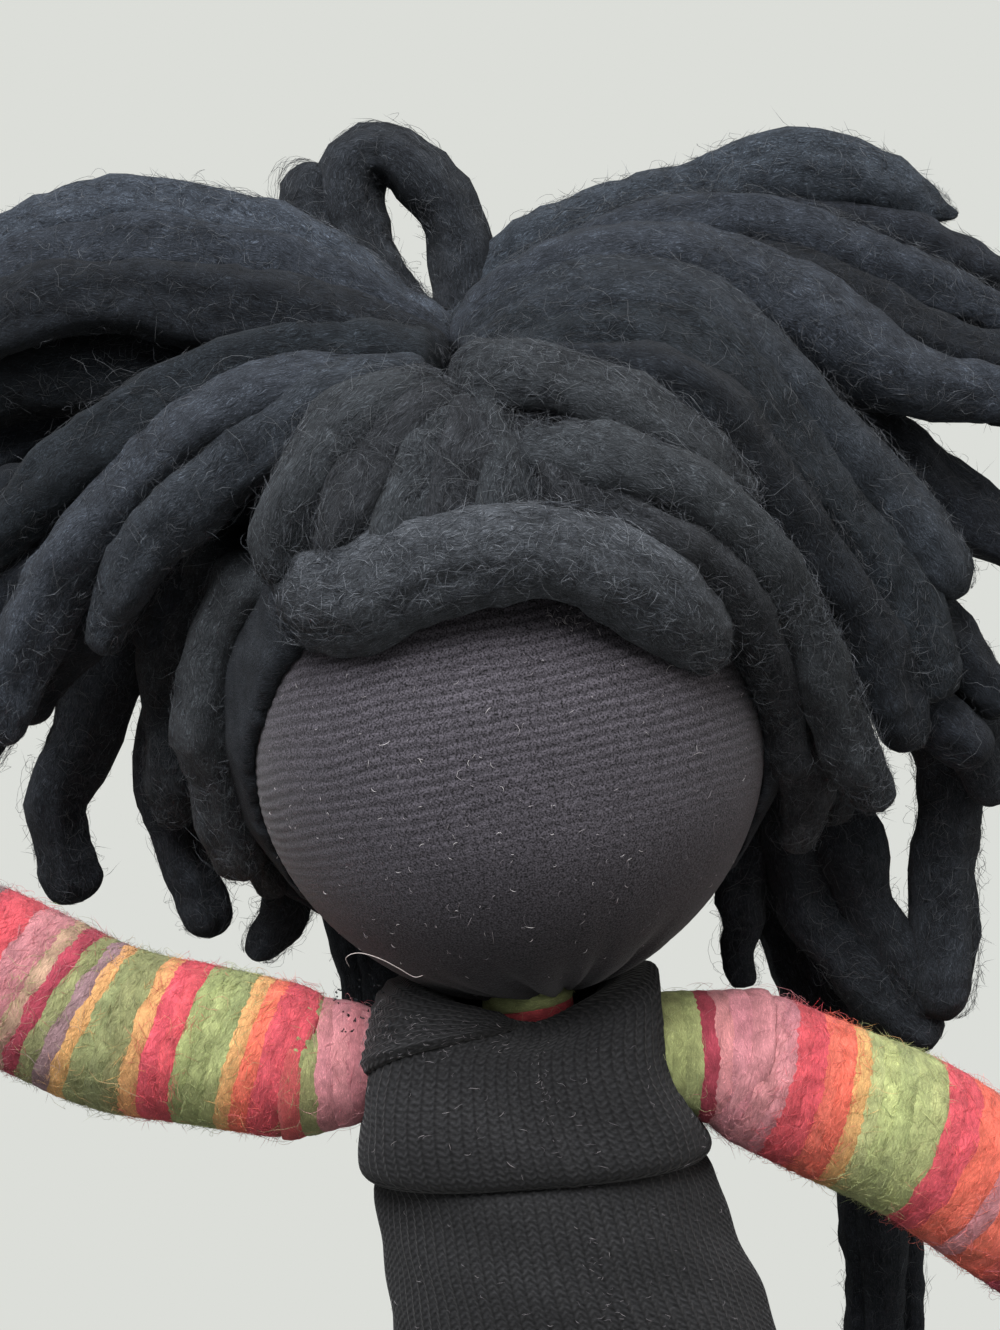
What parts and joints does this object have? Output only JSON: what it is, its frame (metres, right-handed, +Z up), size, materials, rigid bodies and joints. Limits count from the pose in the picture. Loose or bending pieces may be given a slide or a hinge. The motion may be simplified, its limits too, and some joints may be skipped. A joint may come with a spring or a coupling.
{
  "type": "yarn doll",
  "caption": "Faceless yarn doll: wound wool limbs on a bendable wire frame, a jersey head with thick wool locks, and a sock-knit dress. It stands on flat feet.",
  "frame": {"origin": "middle of the doll's box, on the surface that its feet stand on", "axes": "+Z up, the doll faces -Y, and its right as seen from the front is +X"},
  "size_m": [0.2008, 0.0974, 0.3133],
  "materials": {
    "wire": "satin",
    "foam": "matte",
    "jersey": "matte",
    "knit": "matte",
    "hair_wool": "matte",
    "thread": "matte",
    "yarn_green": "matte",
    "yarn_pink": "matte",
    "yarn_red": "matte"
  },
  "bodies": {
    "torso": {"torso_core": "yarn_green", "spine_wire": "wire", "dress_lower": "knit", "dress_bodice": "knit", "dress_strap": "knit"},
    "neck": {"neck_winding": "yarn_green", "neck_wire": "wire"},
    "head": {"head_ball": "foam", "face_cover": "jersey", "gather_thread": "thread", "hair_cap": "hair_wool", "hair_bunch_left": "hair_wool", "hair_bunch_right": "hair_wool", "topknot_loop": "hair_wool", "crown_lock_top": "hair_wool", "crown_lock_right": "hair_wool", "crown_lock_left": "hair_wool", "crown_lock_middle": "hair_wool", "fringe_lock": "hair_wool", "side_wrap_left": "hair_wool", "side_wrap_right": "hair_wool", "hanging_lock_left_1": "hair_wool", "hanging_lock_left_2": "hair_wool", "hanging_lock_left_3": "hair_wool", "hanging_lock_right_1": "hair_wool", "hanging_lock_right_2": "hair_wool", "hanging_lock_right_3": "hair_wool", "back_lock_left": "hair_wool", "back_lock_middle": "hair_wool", "back_lock_right": "hair_wool"},
    "shoulder_left": {"shoulder_wire_left": "wire"},
    "upper_arm_left": {"upper_arm_left": "yarn_pink", "upper_arm_wire_left": "wire", "upper_arm_winding_left": "yarn_red"},
    "forearm_left": {"forearm_left": "yarn_green", "forearm_wire_left": "wire", "forearm_winding_left": "yarn_red"},
    "thigh_left": {"thigh_left": "yarn_red", "thigh_wire_left": "wire", "dress_leg_left": "knit"},
    "shin_left": {"shin_left": "yarn_green", "shin_wire_left": "wire"},
    "foot_left": {"foot_left": "yarn_pink"},
    "shoulder_right": {"shoulder_wire_right": "wire"},
    "upper_arm_right": {"upper_arm_right": "yarn_pink", "upper_arm_wire_right": "wire", "upper_arm_winding_right": "yarn_red"},
    "forearm_right": {"forearm_right": "yarn_green", "forearm_wire_right": "wire", "forearm_winding_right": "yarn_red"},
    "thigh_right": {"thigh_right": "yarn_red", "thigh_wire_right": "wire", "dress_leg_right": "knit"},
    "shin_right": {"shin_right": "yarn_green", "shin_wire_right": "wire"},
    "foot_right": {"foot_right": "yarn_pink"}
  },
  "joints": [
    {"name": "neck_nod", "type": "hinge", "parent": "torso", "child": "neck", "pos_m": [0.0045, -0.0079, 0.1745], "axis": [1, 0, 0], "range_deg": [-12, 12]},
    {"name": "head_turn", "type": "hinge", "parent": "neck", "child": "head", "pos_m": [0.0045, -0.0079, 0.2184], "axis": [0, 0, 1], "range_deg": [-30, 30], "deforming": ["hanging_lock_left_1", "hanging_lock_left_2", "hanging_lock_left_3", "hanging_lock_right_1", "hanging_lock_right_2", "hanging_lock_right_3", "back_lock_left", "back_lock_middle", "back_lock_right"]},
    {"name": "shoulder_swing_left", "type": "hinge", "parent": "torso", "child": "shoulder_left", "pos_m": [-0.0317, -0.0079, 0.1725], "axis": [0, 0, 1], "range_deg": [-15, 55]},
    {"name": "shoulder_raise_left", "type": "hinge", "parent": "shoulder_left", "child": "upper_arm_left", "pos_m": [-0.0317, -0.0079, 0.1725], "axis": [0, 1, 0], "range_deg": [-80, 6]},
    {"name": "elbow_left", "type": "hinge", "parent": "upper_arm_left", "child": "forearm_left", "pos_m": [-0.05778, -0.0079, 0.17949], "axis": [0, 0, 1], "range_deg": [-15, 60]},
    {"name": "shoulder_swing_right", "type": "hinge", "parent": "torso", "child": "shoulder_right", "pos_m": [0.03754, -0.0079, 0.1665], "axis": [0, 0, 1], "range_deg": [-70, 15]},
    {"name": "shoulder_raise_right", "type": "hinge", "parent": "shoulder_right", "child": "upper_arm_right", "pos_m": [0.03754, -0.0079, 0.1665], "axis": [0, 1, 0], "range_deg": [-40, 38]},
    {"name": "elbow_right", "type": "hinge", "parent": "upper_arm_right", "child": "forearm_right", "pos_m": [0.06138, -0.0079, 0.15382], "axis": [0, 0, 1], "range_deg": [-80, 15]},
    {"name": "hip_left", "type": "hinge", "parent": "torso", "child": "thigh_left", "pos_m": [-0.0046, -0.0049, 0.106], "axis": [-1, 0, 0], "range_deg": [-20, 90]},
    {"name": "knee_left", "type": "hinge", "parent": "thigh_left", "child": "shin_left", "pos_m": [-0.0046, -0.0049, 0.06], "axis": [1, 0, 0], "range_deg": [0, 90]},
    {"name": "ankle_left", "type": "hinge", "parent": "shin_left", "child": "foot_left", "pos_m": [-0.0046, -0.0049, 0.0165], "axis": [1, 0, 0], "range_deg": [-25, 25]},
    {"name": "hip_right", "type": "hinge", "parent": "torso", "child": "thigh_right", "pos_m": [0.0246, -0.0049, 0.106], "axis": [-1, 0, 0], "range_deg": [-20, 90]},
    {"name": "knee_right", "type": "hinge", "parent": "thigh_right", "child": "shin_right", "pos_m": [0.0246, -0.0049, 0.06], "axis": [1, 0, 0], "range_deg": [0, 90]},
    {"name": "ankle_right", "type": "hinge", "parent": "shin_right", "child": "foot_right", "pos_m": [0.0246, -0.0049, 0.0165], "axis": [1, 0, 0], "range_deg": [-25, 25]}
  ]
}
